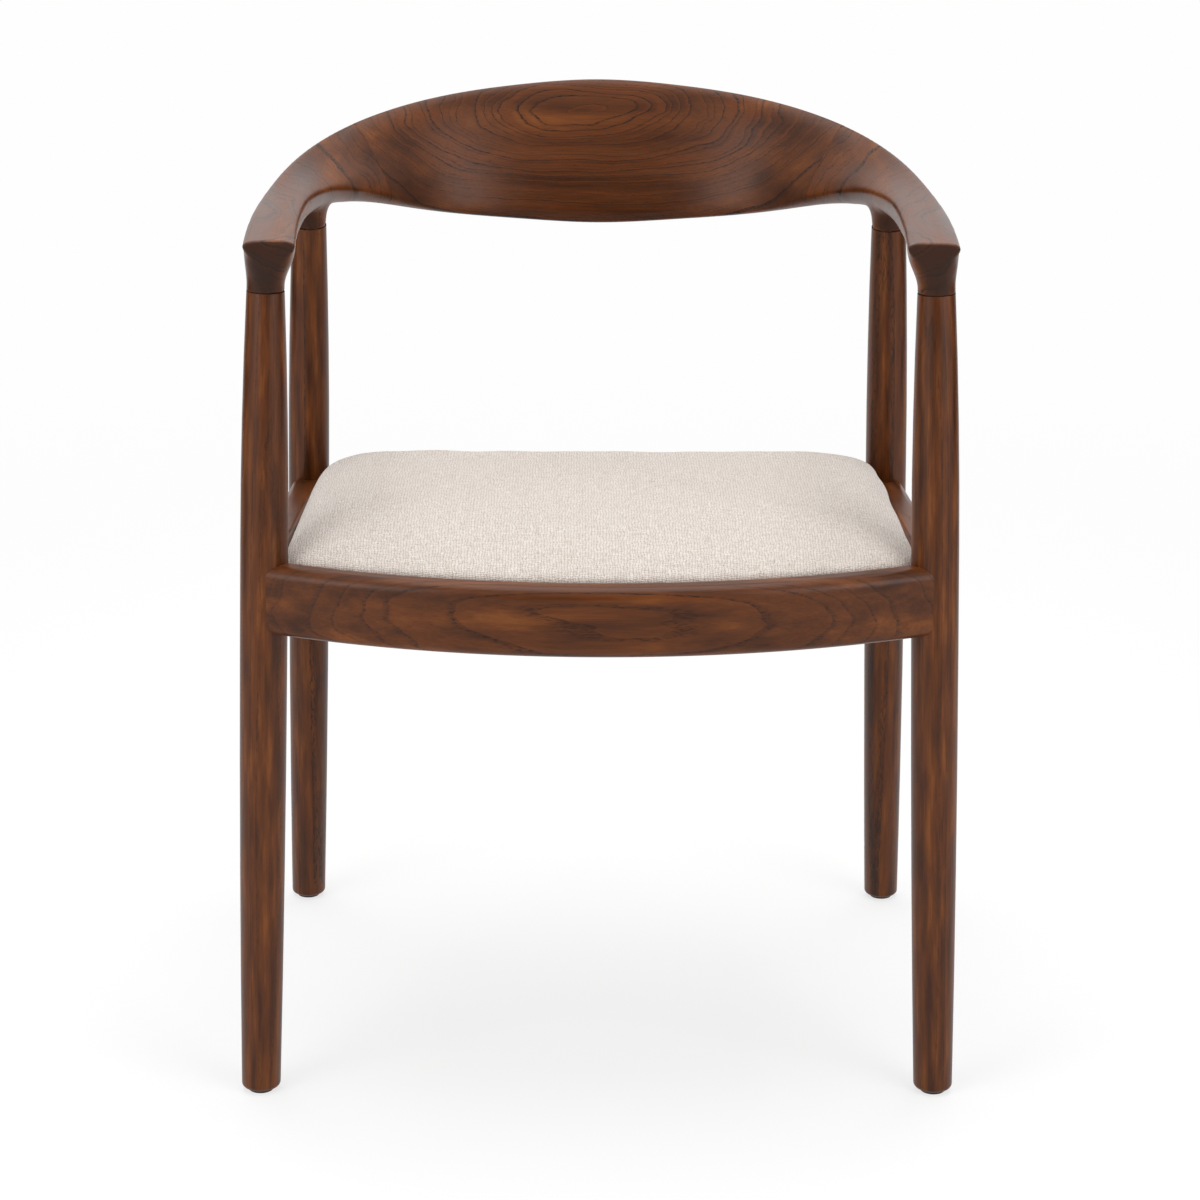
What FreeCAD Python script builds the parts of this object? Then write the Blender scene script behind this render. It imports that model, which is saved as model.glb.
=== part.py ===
"""Round-back armchair: stained ash frame with one curved arm and back rail, and an upholstered seat.

Millimetres.  The chair faces -Y, +Z is up and the sitter's left is +X.  The origin is on the floor,
midway across the chair and midway between its foremost and rearmost points.
"""
import FreeCAD, Part
import math
import os
import Sketcher

V = FreeCAD.Vector
UP = V(0, 0, 1)
SIDES = {"left": 1, "right": -1}

doc = FreeCAD.newDocument("round_back_armchair")

# Driving dimensions
SIZES = [
    # Legs: places of their axes, turned diameters, tenons and glides
    ("front_leg_y", -202), ("front_leg_top_x", 257.2), ("front_leg_foot_x", 279), ("front_joint_z", 671.4),
    ("back_leg_top_x", 249), ("back_leg_top_y", 88), ("back_leg_foot_x", 276), ("back_leg_foot_y", 218),
    ("back_joint_z", 673), ("front_top_dia", 29.4), ("front_mid_dia", 37.6), ("front_foot_dia", 31.6),
    ("front_swell_low", 390), ("front_swell_high", 480), ("back_top_dia", 29.6), ("back_mid_dia", 36),
    ("back_foot_dia", 31), ("back_swell_low", 385), ("back_swell_high", 475),
    ("foot_round", 4), ("foot_trim", 12), ("leg_tenon_dia", 16), ("leg_tenon_length", 24),
    ("glide_dia", 20), ("glide_thickness", 3), ("glide_pin_dia", 5), ("glide_pin_length", 14),
    # Arm and back rail: plan, sections, and the stations from 0 at the tip to 1 at the middle
    ("arm_tip_overhang", 22), ("arm_tip_x", 251.6), ("arm_tip_top_z", 714), ("arm_swing_x", 23),
    ("arm_straight", 314), ("back_bend", 260), ("back_line_y", 256), ("arm_middle_top_z", 716),
    ("tip_width", 40), ("tip_depth", 9), ("arm_width", 36), ("arm_crown", 6), ("arm_depth", 22),
    ("crest_height", 131), ("crest_centre_z", 712), ("crest_front", 9), ("crest_back", 14),
    ("crest_lean", 14), ("end_round", 2), ("twist_start", 0.16), ("twist_end", 0.87),
    ("swell_start", 0.23), ("swell_end", 1.07), ("tip_flare_end", 0.4), ("tip_depth_end", 0.2),
    ("front_neck_forward", 21.8), ("front_neck_rearward", 32), ("rear_neck_length", 27),
    ("rear_neck_inward", 20), ("neck_cover", 3), ("neck_flare_start", 0.12), ("tip_flow_end", 0.85),
    ("neck_clearance", 0.2), ("rail_joint_station", 0.62),
    ("rail_dowel_dia", 9), ("rail_dowel_length", 44), ("rail_dowel_spread", 26),
    # Seat rails and their tenons
    ("seat_rail_top_z", 456), ("seat_fall", 18), ("front_rail_height", 56.5), ("front_rail_thickness", 26),
    ("front_rail_bow", 61), ("front_rail_forward", 16), ("front_rail_round", 9),
    ("side_rail_height", 50), ("side_rail_thickness", 26), ("side_rail_round", 6),
    ("tenon_thickness", 9), ("tenon_height", 30), ("tenon_stop", 6), ("tenon_drop", 4),
    ("mortise_clearance", 0.2),
    # Drop-in seat
    ("seat_side_gap", 2.5), ("seat_gap", 1.5), ("seat_drop", 13), ("seat_crown", 9), ("seat_front_rise", 12),
    ("seat_back_rise", 32), ("seat_side_share", 0.6), ("seat_front_roll", 24), ("seat_back_roll", 30),
    ("seat_front_ease", 14), ("seat_back_ease", 38), ("seat_lift", 0.3), ("cover_thickness", 1.5),
    ("pan_thickness", 9), ("pan_inset", 12), ("cover_lap", 34), ("dust_cover_thickness", 0.8),
    # Corner blocks and screws
    ("block_leg", 72), ("block_height", 28), ("block_nose", 12), ("block_screw_bite", 14),
    ("block_screw_along", 44), ("block_screw_length", 34), ("seat_screw_in", 32), ("seat_screw_back", 19.2),
    ("seat_screw_recess", 5), ("seat_screw_length", 34),
    ("screw_dia", 4), ("screw_head_dia", 8), ("screw_head_height", 3), ("screw_clearance", 0.3),
]
sheet = doc.addObject("Spreadsheet::Sheet", "sizes")
for row, (alias, value) in enumerate(SIZES, start=1):
    sheet.set(f"A{row}", alias)
    sheet.set(f"B{row}", str(value))
    sheet.setAlias(f"B{row}", alias)
doc.recompute()


def size(alias):
    """One driving dimension, as the sheet holds it."""
    return float(sheet.get(alias))


def solid_node(label, shape):
    """A sub-part whose shape is made here from the sheet's sizes."""
    feature = doc.addObject("Part::Feature", label)
    feature.Shape = shape
    feature.Label = label
    return feature


def plane_of(body, role):
    """One of a body's own origin planes."""
    return next(f for f in body.Origin.OriginFeatures if f.Role == role)


def turned_body(name, outline, bound):
    """A piece turned on a lathe: outline is a list of lines and arcs, bound ties its constraints."""
    body = doc.addObject("PartDesign::Body", name)
    sketch = body.newObject("Sketcher::SketchObject", name + "_profile")
    sketch.AttachmentSupport = (plane_of(body, "XZ_Plane"), [""])
    sketch.MapMode = "FlatFace"
    for piece in outline:
        sketch.addGeometry(piece, False)
    for index in range(len(outline)):
        following = (index + 1) % len(outline)
        sketch.addConstraint(Sketcher.Constraint("Coincident", index, 2, following, 1))
    for kind, arguments, expression in bound:
        constraint = sketch.addConstraint(Sketcher.Constraint(kind, *arguments))
        if expression:
            sketch.setExpression(f"Constraints[{constraint}]", expression)
    turn = body.newObject("PartDesign::Revolution", name + "_turned")
    turn.Profile = sketch
    turn.ReferenceAxis = (sketch, ["V_Axis"])
    turn.Angle = 360
    return body


def line(x0, z0, x1, z1):
    return Part.LineSegment(V(x0, z0, 0), V(x1, z1, 0))


def swelling_arc(x0, z0, x1, z1, widest_z):
    """An upward arc between two radii whose centre is level with its widest end."""
    rise = z0 - widest_z if z1 == widest_z else z1 - widest_z
    narrow, wide = (x0, x1) if z1 == widest_z else (x1, x0)
    radius = (rise ** 2 + (wide - narrow) ** 2) / (2 * (wide - narrow))
    centre = V(wide - radius, widest_z, 0)
    low = math.atan2(z0 - widest_z, x0 - centre.x)
    high = math.atan2(z1 - widest_z, x1 - centre.x)
    return Part.ArcOfCircle(Part.Circle(centre, UP, radius), low, high)


def leg_ends(kind, side):
    """Where a leg's axis meets its glide and where its shoulder meets the arm."""
    mirror = SIDES[side]
    if kind == "front":
        foot_y = size("front_leg_y")
        top_y = foot_y
    else:
        foot_y = size("back_leg_foot_y")
        top_y = size("back_leg_top_y")
    foot = V(mirror * size(kind + "_leg_foot_x"), foot_y, size("glide_thickness"))
    top = V(mirror * size(kind + "_leg_top_x"), top_y, size(kind + "_joint_z"))
    return foot, top


def leg_axis_at(kind, side, z):
    """The point of a leg's axis at one height."""
    foot, top = leg_ends(kind, side)
    return foot + (top - foot) * ((z - foot.z) / (top.z - foot.z))


def leg_blank(kind, side):
    """The turned leg with its round top tenon, longer at the foot than the finished leg.

    It swells in two arcs to an even thickness where the seat rails meet it.
    """
    foot, top = leg_ends(kind, side)
    trim = size("foot_trim")
    length = foot.distanceToPoint(top) + trim
    foot_r, mid_r, top_r = (size(f"{kind}_{part}_dia") / 2 for part in ("foot", "mid", "top"))
    tenon_r = size("leg_tenon_dia") / 2
    tenon_end = length + size("leg_tenon_length")
    low, high = (size(f"{kind}_swell_{end}") for end in ("low", "high"))
    outline = [
        line(0, 0, foot_r, 0), swelling_arc(foot_r, 0, mid_r, low, low), line(mid_r, low, mid_r, high),
        swelling_arc(mid_r, high, top_r, length, high), line(top_r, length, tenon_r, length),
        line(tenon_r, length, tenon_r, tenon_end), line(tenon_r, tenon_end, 0, tenon_end),
        line(0, tenon_end, 0, 0),
    ]
    across = f"(sizes.{kind}_leg_foot_x - sizes.{kind}_leg_top_x)^2"
    along = "(sizes.back_leg_foot_y - sizes.back_leg_top_y)^2" if kind == "back" else "0"
    upward = f"(sizes.{kind}_joint_z - sizes.glide_thickness)^2"
    bound = [
        ("Coincident", (0, 1, -1, 1), None), ("Horizontal", (0,), None), ("Vertical", (2,), None),
        ("Horizontal", (4,), None), ("Vertical", (5,), None), ("Horizontal", (6,), None),
        ("Vertical", (7,), None),
        ("Horizontal", (1, 3, 1, 2), None), ("Horizontal", (3, 3, 3, 1), None),
        ("DistanceX", (-1, 1, 0, 2, foot_r), f"sizes.{kind}_foot_dia / 2"),
        ("DistanceX", (-1, 1, 2, 1, mid_r), f"sizes.{kind}_mid_dia / 2"),
        ("DistanceY", (-1, 1, 2, 1, low), f"sizes.{kind}_swell_low"),
        ("DistanceY", (-1, 1, 2, 2, high), f"sizes.{kind}_swell_high"),
        ("DistanceX", (-1, 1, 3, 2, top_r), f"sizes.{kind}_top_dia / 2"),
        ("DistanceY", (-1, 1, 3, 2, length), f"sqrt({across} + {along} + {upward}) + sizes.foot_trim"),
        ("DistanceX", (-1, 1, 5, 1, tenon_r), "sizes.leg_tenon_dia / 2"),
        ("DistanceY", (5, 1, 5, 2, size("leg_tenon_length")), "sizes.leg_tenon_length"),
    ]
    body = turned_body(f"{kind}_leg_blank_{side}", outline, bound)
    axis = (top - foot).normalize()
    body.Placement = FreeCAD.Placement(foot - axis * trim, FreeCAD.Rotation(UP, axis))
    return body


# Seat rails
def seat_top_at(y):
    """Height of the sloping plane through the tops of the side rails."""
    front = size("front_leg_y")
    back = leg_axis_at("back", "left", size("seat_rail_top_z") - size("seat_fall")).y
    return size("seat_rail_top_z") - size("seat_fall") * (y - front) / (back - front)


def rounded_bar(height, thickness, radius, length):
    """A bar along +X from the origin, its section centred in Y and hanging below Z 0."""
    half = thickness / 2
    corner = radius * (1 - math.sqrt(0.5))
    points = [V(0, -half, -radius), V(0, -half + corner, -corner), V(0, -half + radius, 0),
              V(0, half - radius, 0), V(0, half - corner, -corner), V(0, half, -radius),
              V(0, half, -height + radius), V(0, half - corner, -height + corner),
              V(0, half - radius, -height), V(0, -half + radius, -height),
              V(0, -half + corner, -height + corner), V(0, -half, -height + radius)]
    edges = []
    for k in range(0, 12, 3):
        edges.append(Part.Arc(points[k], points[k + 1], points[k + 2]).toShape())
        edges.append(Part.LineSegment(points[k + 2], points[(k + 3) % 12]).toShape())
    face = Part.Face(Part.Wire(edges))
    return face, face.extrude(V(length, 0, 0))


def aligned(shape, start, end, upright=UP):
    """A shape drawn along +X, laid from start towards end with its own +Z kept as upright as it can be."""
    along = (end - start).normalize()
    sideways = upright.cross(along).normalize()
    turn = FreeCAD.Rotation(along, sideways, along.cross(sideways), "ZXY")
    placed = shape.copy()
    placed.Placement = FreeCAD.Placement(start, turn)
    return placed


def straight_rail(start, end, upright):
    """A side or back rail's bar between two leg axes, stopped just short of both."""
    along = (end - start).normalize()
    short = size("tenon_stop") / 2
    _, bar = rounded_bar(size("side_rail_height"), size("side_rail_thickness"), size("side_rail_round"),
                         end.distanceToPoint(start) - 2 * short)
    return aligned(bar, start + along * short, end, upright)


def tenon(leg_point, towards, extra=0.0):
    """A rail's square-edged tenon, from just short of a leg's axis out into the rail."""
    thickness = size("tenon_thickness") + 2 * extra
    height = size("tenon_height") + 2 * extra
    inner = size("tenon_stop") - extra
    outer = size("front_mid_dia") / 2 + size("tenon_stop")
    block = Part.makeBox(outer - inner, thickness, height, V(inner, -thickness / 2, -height / 2))
    return aligned(block, leg_point, towards)


def side_rail_line(side):
    """The side rail's top centre line, from the front leg's axis to the back leg's."""
    front = leg_axis_at("front", side, size("seat_rail_top_z"))
    back = leg_axis_at("back", side, size("seat_rail_top_z") - size("seat_fall"))
    return front, back


def tenon_line(kind, side, rail):
    """Where a rail's tenon starts on a leg's axis, and the point that it points to."""
    drop = size("side_rail_height") / 2 + size("tenon_drop")
    levels = {end: point.z - drop for end, point in zip(("front", "back"), side_rail_line(side))}
    start = leg_axis_at(kind, side, levels[kind])
    if rail == "side":
        other = "back" if kind == "front" else "front"
        return start, leg_axis_at(other, side, levels[other])
    return start, V(-start.x, start.y, start.z)


def front_rail_shape():
    """The bowed front rail: its rounded section swung about the centre of the bow."""
    bow = size("front_rail_bow")
    leg = leg_axis_at("front", "left", size("seat_rail_top_z"))
    radius = (leg.x ** 2 + bow ** 2) / (2 * bow)
    middle_y = size("front_leg_y") - size("front_rail_forward") + size("front_rail_thickness") / 2 - bow
    centre = V(0, middle_y + radius, size("seat_rail_top_z"))
    face, _ = rounded_bar(size("front_rail_height"), size("front_rail_thickness"),
                          size("front_rail_round"), bow)
    face.translate(V(0, middle_y, size("seat_rail_top_z")))
    half_angle = math.degrees(math.asin(leg.x / radius))
    face.rotate(centre, UP, -half_angle)
    return face.revolve(centre, UP, 2 * half_angle), centre, radius


def outer_leg(kind, side):
    return doc.getObject(f"{kind}_leg_blank_{side}").Shape


def leg_cope(kind, side, rail):
    """What a rail that runs to a leg's axis loses there: all of the leg but the rail's own tenon."""
    return outer_leg(kind, side).cut(tenon(*tenon_line(kind, side, rail)))


blanks = {(kind, side): leg_blank(kind, side) for kind in ("front", "back") for side in SIDES}
doc.recompute()


def front_rail():
    shape, _, _ = front_rail_shape()
    shape = shape.common(between_legs("front"))
    for side in SIDES:
        shape = shape.cut(leg_cope("front", side, "front"))
    return shape.removeSplitter()


def between_legs(kind):
    """The space between a pair of legs, out to their axes, that trims a rail's far ends."""
    reach = leg_axis_at(kind, "left", size("seat_rail_top_z")).x
    depth = size("front_rail_bow") + size("back_leg_foot_y") - size("front_leg_y")
    return Part.makeBox(2 * reach, 2 * depth, size("front_joint_z"), V(-reach, -depth, 0))


def back_rail():
    """The back rail, which leans as the back legs do."""
    foot, top = leg_ends("back", "left")
    lean = V(0, top.y - foot.y, top.z - foot.z)
    shape = straight_rail(side_rail_line("right")[1], side_rail_line("left")[1], lean)
    for side in SIDES:
        shape = shape.cut(leg_cope("back", side, "back"))
    return shape.removeSplitter()


def side_rail(side):
    """A side rail, coped to both legs and trimmed clear of the back rail at its inner corner."""
    front, back = side_rail_line(side)
    along = (back - front).normalize()
    lean_run = leg_axis_at("back", side, back.z - size("side_rail_height")).y - back.y
    shape = straight_rail(front, back + along * lean_run, UP)
    half = size("side_rail_thickness") / 2
    room = size("front_rail_height") + size("side_rail_height")
    corner = back - V(room, half + size("mortise_clearance"), room)
    kept = tenon(*tenon_line("back", side, "side")).common(outer_leg("back", side))
    shape = shape.cut(Part.makeBox(room, room, 2 * room, corner).cut(kept))
    for kind in ("front", "back"):
        shape = shape.cut(leg_cope(kind, side, "side"))
    return max(shape.Solids, key=lambda solid: solid.Volume).removeSplitter()


# Arm and back rail
def eased(station, start, end):
    """Nought before start, one after end, and a smooth step between."""
    share = min(max((station - start) / (end - start), 0), 1)
    return share * share * (3 - 2 * share)


def rail_path(station):
    """Plan of the rail's centre line on the sitter's left, from the arm's tip to the middle of the back."""
    tip = V(size("arm_tip_x"), size("front_leg_y") - size("arm_tip_overhang"), 0)
    poles = [tip, tip + V(size("arm_swing_x"), size("arm_straight"), 0),
             V(size("back_bend"), size("back_line_y"), 0), V(0, size("back_line_y"), 0)]
    left = 1 - station
    place = (poles[0] * left ** 3 + poles[1] * (3 * station * left ** 2)
             + poles[2] * (3 * station ** 2 * left) + poles[3] * station ** 3)
    along = ((poles[1] - poles[0]) * left ** 2 + (poles[2] - poles[1]) * (2 * station * left)
             + (poles[3] - poles[2]) * station ** 2).normalize()
    return place, along


def rail_frame(station):
    """Centre of one section, its two axes, and its half sizes along them."""
    place, along = rail_path(station)
    outward = V(along.y, -along.x, 0)
    swell = eased(station, size("swell_start"), size("swell_end"))
    flare = 1 - eased(station, 0, size("tip_flare_end"))
    lean = math.radians(90 - size("crest_lean")) * eased(station, size("twist_start"), size("twist_end"))
    middle_z = size("arm_middle_top_z") - size("arm_crown")
    tip_z = size("arm_tip_top_z") - size("arm_crown")
    place.z = middle_z + (size("crest_centre_z") - middle_z) * swell + (tip_z - middle_z) * flare
    half_width = (size("arm_width") + (size("crest_height") - size("arm_width")) * swell
                  + (size("tip_width") - size("arm_width")) * flare) / 2
    face = size("arm_crown") + (size("crest_front") - size("arm_crown")) * swell
    thinned = 1 - eased(station, 0, size("tip_depth_end"))
    depth = (size("arm_depth") + (size("crest_back") - size("arm_depth")) * swell
             + (size("tip_depth") - size("arm_depth")) * thinned)
    broad = outward * math.cos(lean) + UP * math.sin(lean)
    facing = outward * -math.sin(lean) + UP * math.cos(lean)
    return place, along, broad, facing, half_width, face, depth


FACE_POWER = 3.4
BACK_POWER = 2.4
SECTION_POINTS = 32


def rail_section(station, mirror):
    """One rounded section of the rail: a flatter face above, a fuller curve behind it."""
    place, _, broad, facing, half_width, face, depth = rail_frame(station)
    points = []
    for k in range(SECTION_POINTS):
        turn = 2 * math.pi * k / SECTION_POINTS
        across, rise = math.cos(turn), math.sin(turn)
        power = FACE_POWER if rise > 0 else BACK_POWER
        reach = (abs(across) ** power + abs(rise) ** power) ** (-1 / power)
        side_reach = half_width * reach * across
        face_reach = (face if rise > 0 else depth) * reach * rise
        point = place + broad * side_reach + facing * face_reach
        points.append(V(mirror * point.x, point.y, point.z))
    curve = Part.BSplineCurve()
    curve.interpolate(points, PeriodicFlag=True)
    return Part.Wire(curve.toShape())


STATIONS = [0, 0.05, 0.1, 0.15, 0.2, 0.3, 0.4, 0.5, 0.6, 0.7, 0.8, 0.9, 1]
HALVINGS = 40


def whole_rail():
    sections = [rail_section(station, 1) for station in STATIONS]
    sections += [rail_section(station, -1) for station in reversed(STATIONS[:-1])]
    return Part.makeLoft(sections, True, False)


def station_over(kind):
    """The rail station that lies straight over a left leg's shoulder."""
    _, top = leg_ends(kind, "left")
    low, high = 0.0, size("rail_joint_station")
    for _ in range(HALVINGS):
        middle = (low + high) / 2
        place, along = rail_path(middle)
        low, high = (middle, high) if (V(top.x, top.y, 0) - place).dot(along) > 0 else (low, middle)
    return low


NECK_SHARES = [0, 0.2, 0.4, 0.6, 0.8, 1]


def neck_ring(centre, along, across, reaches, power):
    """A closed oval about centre; reaches are its half sizes forward, rearward, outward and inward."""
    forward, rearward, outward, inward_reach = reaches
    points = []
    for k in range(SECTION_POINTS):
        turn = 2 * math.pi * k / SECTION_POINTS
        lengthways, sideways = math.cos(turn), math.sin(turn)
        squared = (abs(lengthways) ** power + abs(sideways) ** power) ** (-1 / power)
        lengthways, sideways = lengthways * squared, sideways * squared
        points.append(centre + along * (lengthways * (rearward if lengthways > 0 else forward))
                      + across * (sideways * (outward if sideways > 0 else inward_reach)))
    curve = Part.BSplineCurve()
    curve.interpolate(points, PeriodicFlag=True)
    return Part.Wire(curve.toShape())


def neck(kind, power, reaches):
    """The left arm's stub over a leg, flared in an ogee from the leg's shoulder to reaches inside the rail.

    Each reach comes with the share of the stub's height at which it is full.  The round shoulder grows
    squarer with the power, where 2 stays round.
    """
    foot, top = leg_ends(kind, "left")
    axis = (top - foot).normalize()
    place, along, _, facing, _, face, depth = rail_frame(station_over(kind))
    goal = place + facing * ((face - depth) / 2) if kind == "back" else place - UP * size("neck_cover")
    along = (along - axis * along.dot(axis)).normalize()
    across = along.cross(axis)
    straight = axis * ((goal.z - top.z) / axis.z)
    radius = size(kind + "_top_dia") / 2
    rings = []
    for share in NECK_SHARES:
        flare = eased(share, size("neck_flare_start"), 1)
        centre = top + straight * share + (goal - top - straight) * flare
        grown = [radius + (reach - radius) * eased(share, size("neck_flare_start"), full)
                 for reach, full in reaches]
        rings.append(neck_ring(centre, along, across, grown, 2 + (power - 2) * flare))
    return Part.makeLoft(rings, True, False)


def front_neck():
    """The arm's down-turned end, which shrinks in a hollow curve to the front leg's shoulder."""
    side = size("tip_width") / 2 - size("neck_clearance")
    forward = (size("front_neck_forward"), size("tip_flow_end"))
    return neck("front", FACE_POWER, [forward, (size("front_neck_rearward"), 1), (side, 1), (side, 1)])


def rear_neck():
    """The stub under the arm that takes the back leg, flared along the rail and towards the sitter."""
    reaches = [size("rear_neck_length")] * 2 + [size("back_top_dia") / 2, size("rear_neck_inward")]
    return neck("back", 2, [(reach, 1) for reach in reaches])


def leg_socket(kind, side):
    """The blind hole that takes a leg's round tenon."""
    foot, top = leg_ends(kind, side)
    axis = (top - foot).normalize()
    clearance = size("neck_clearance")
    return Part.makeCylinder(size("leg_tenon_dia") / 2 + clearance, size("leg_tenon_length") + clearance,
                             top, axis)


def joint_box(side):
    """All the space on the arm's side of the joint between arm and backrest."""
    mirror = SIDES[side]
    place, along = rail_path(size("rail_joint_station"))
    place = V(mirror * place.x, place.y, 0)
    along = V(mirror * along.x, along.y, 0)
    width = 2 * size("arm_tip_x")
    block = Part.makeBox(2 * width, 2 * width, 2 * size("crest_centre_z"), V(-2 * width, -width, 0))
    return aligned(block, place, place + along)


def rail_dowels(side, extra=0.0):
    """Two dowels across the joint between arm and backrest, set along the section's broad axis."""
    mirror = SIDES[side]
    place, along, broad, facing, _, face, depth = rail_frame(size("rail_joint_station"))
    place = place + facing * ((face - depth) / 2)
    length = size("rail_dowel_length") + 2 * extra
    dowels = []
    for offset in (-size("rail_dowel_spread") / 2, size("rail_dowel_spread") / 2):
        start = place + broad * offset - along * (length / 2)
        start = V(mirror * start.x, start.y, start.z)
        along_here = V(mirror * along.x, along.y, along.z)
        dowels.append(Part.makeCylinder(size("rail_dowel_dia") / 2 + extra, length, start, along_here))
    return dowels


def mirrored(shape):
    """The same piece for the other side of the chair."""
    return shape.mirror(V(0, 0, 0), V(1, 0, 0))


def left_arm(rail):
    """One arm: its length of rail, softened at the tip, with both necks and their leg sockets."""
    arm = rail.common(joint_box("left"))
    tip_y = size("front_leg_y") - size("arm_tip_overhang")
    reach = size("arm_crown")
    tip_edges = [edge for edge in arm.Edges if edge.CenterOfMass.y < tip_y + reach]
    arm = arm.makeFillet(size("end_round"), tip_edges)
    arm = arm.fuse(front_neck()).fuse(rear_neck())
    for kind in ("front", "back"):
        arm = arm.cut(leg_socket(kind, "left"))
    for dowel in rail_dowels("left", size("neck_clearance")):
        arm = arm.cut(dowel)
    return arm


def arm_and_back():
    """The three joined pieces of the rail: two arms and the backrest between them."""
    rail = whole_rail()
    arm = left_arm(rail)
    back = rail
    for side in SIDES:
        back = back.cut(joint_box(side))
        for dowel in rail_dowels(side, size("neck_clearance")):
            back = back.cut(dowel)
    return {"arm_left": arm, "arm_right": mirrored(arm), "backrest": back}


# Upholstered seat
SEAT_SLICES = [-1, -0.97, -0.9, -0.75, -0.5, 0, 0.5, 0.75, 0.9, 0.97, 1]
SIDE_POWER = 9


def seat_half_width():
    """Half the width of the seat, which drops between the side rails where they stand closest."""
    return side_rail_line("left")[1].x - size("side_rail_thickness") / 2 - size("seat_side_gap")


def corner_recess(x, inset, ease):
    """How far a seat corner of one ease has drawn in at a distance from the middle."""
    ease = max(ease - inset, 0)
    past = max(abs(x) - (seat_half_width() - inset - ease), 0)
    return ease - math.sqrt(max(ease ** 2 - past ** 2, 0))


def seat_edges(x, inset):
    """Front and back edge of the seat at one distance from the middle, eased round the corners."""
    _, centre, radius = front_rail_shape()
    outer = radius - size("front_rail_thickness") / 2 - size("seat_gap") - inset
    front = centre.y - math.sqrt(outer ** 2 - x ** 2) + corner_recess(x, inset, size("seat_front_ease"))
    back_line = side_rail_line("left")[1].y - size("side_rail_thickness") / 2 - size("seat_gap") - inset
    return front, back_line - corner_recess(x, inset, size("seat_back_ease"))


def seat_floor(y, lift):
    """Height of the seat's underside: it drops between the rails onto the corner blocks."""
    return seat_top_at(y) - size("seat_drop") + lift


def padded_slice(share, inset):
    """One slice of the cushion across X: flat below, arched above, rolled over at the front and back."""
    x = share * (seat_half_width() - inset)
    edges = seat_edges(x, inset)
    side = size("seat_side_share")
    fullness = side + (1 - side) * math.sqrt(max(1 - abs(share) ** SIDE_POWER, 0))
    lows, rolls, tops = [], [], []
    for edge, end, towards in ((edges[0], "front", 1), (edges[1], "back", -1)):
        low = V(x, edge, seat_floor(edge, inset))
        rise = size("seat_drop") + size(f"seat_{end}_rise") * fullness - 2 * inset
        roll = size(f"seat_{end}_roll") * towards
        lows.append(low)
        rolls.append(low + V(0, roll * (1 - math.sqrt(0.5)), rise * math.sqrt(0.5)))
        tops.append(low + V(0, roll, rise))
    middle = (tops[0] + tops[1]) * 0.5 + UP * (size("seat_crown") * fullness)
    return Part.Wire([
        Part.LineSegment(lows[1], lows[0]).toShape(), Part.Arc(lows[0], rolls[0], tops[0]).toShape(),
        Part.Arc(tops[0], middle, tops[1]).toShape(), Part.Arc(tops[1], rolls[1], lows[1]).toShape()])


def padded_solid(inset):
    return Part.makeLoft([padded_slice(share, inset) for share in SEAT_SLICES], True, False)


def flat_sheet(inset, low, high):
    """A sheet of even thickness that follows the seat's underside and its outline."""
    wires = []
    for share in SEAT_SLICES:
        x = share * (seat_half_width() - inset)
        front, back = seat_edges(x, inset)
        corners = [V(x, front, seat_floor(front, low)), V(x, back, seat_floor(back, low)),
                   V(x, back, seat_floor(back, high)), V(x, front, seat_floor(front, high))]
        wires.append(Part.makePolygon(corners + corners[:1]))
    return Part.makeLoft(wires, True, True)


# Corner blocks and screws
CORNERS = [(kind, side) for kind in ("front", "back") for side in SIDES]


def inward(kind):
    """Which way along Y the seat lies from a pair of legs."""
    return 1 if kind == "front" else -1


def corner_point(kind, side):
    """The leg's axis at the seat rails, on the top plane of its corner block."""
    front, back = side_rail_line(side)
    point = front if kind == "front" else back
    lowest_y = point.y + size("block_leg") if kind == "front" else point.y
    lowest = seat_floor(lowest_y, 0)
    return V(point.x, point.y, lowest - size("seat_lift"))


def corner_block(kind, side):
    """A three-cornered block glued into the angle between two rails and trimmed to both."""
    mirror = SIDES[side]
    towards = inward(kind)
    point = corner_point(kind, side)
    leg = size("block_leg")
    nose = size("block_nose")
    outline = [V(0, -leg / 2 * towards, 0), V(-mirror * leg, -leg / 2 * towards, 0),
               V(-mirror * leg, nose * towards, 0), V(-mirror * nose, leg * towards, 0),
               V(0, leg * towards, 0)]
    base = point - V(0, 0, size("block_height"))
    wire = Part.makePolygon([base + corner for corner in outline + outline[:1]])
    block = Part.Face(wire).extrude(V(0, 0, size("block_height")))
    neighbours = [outer_leg(kind, side), rails["side_seat_rail_" + side], rails[kind + "_seat_rail"]]
    for neighbour in neighbours:
        block = block.cut(neighbour)
    return max(block.Solids, key=lambda solid: solid.Volume)


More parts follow.
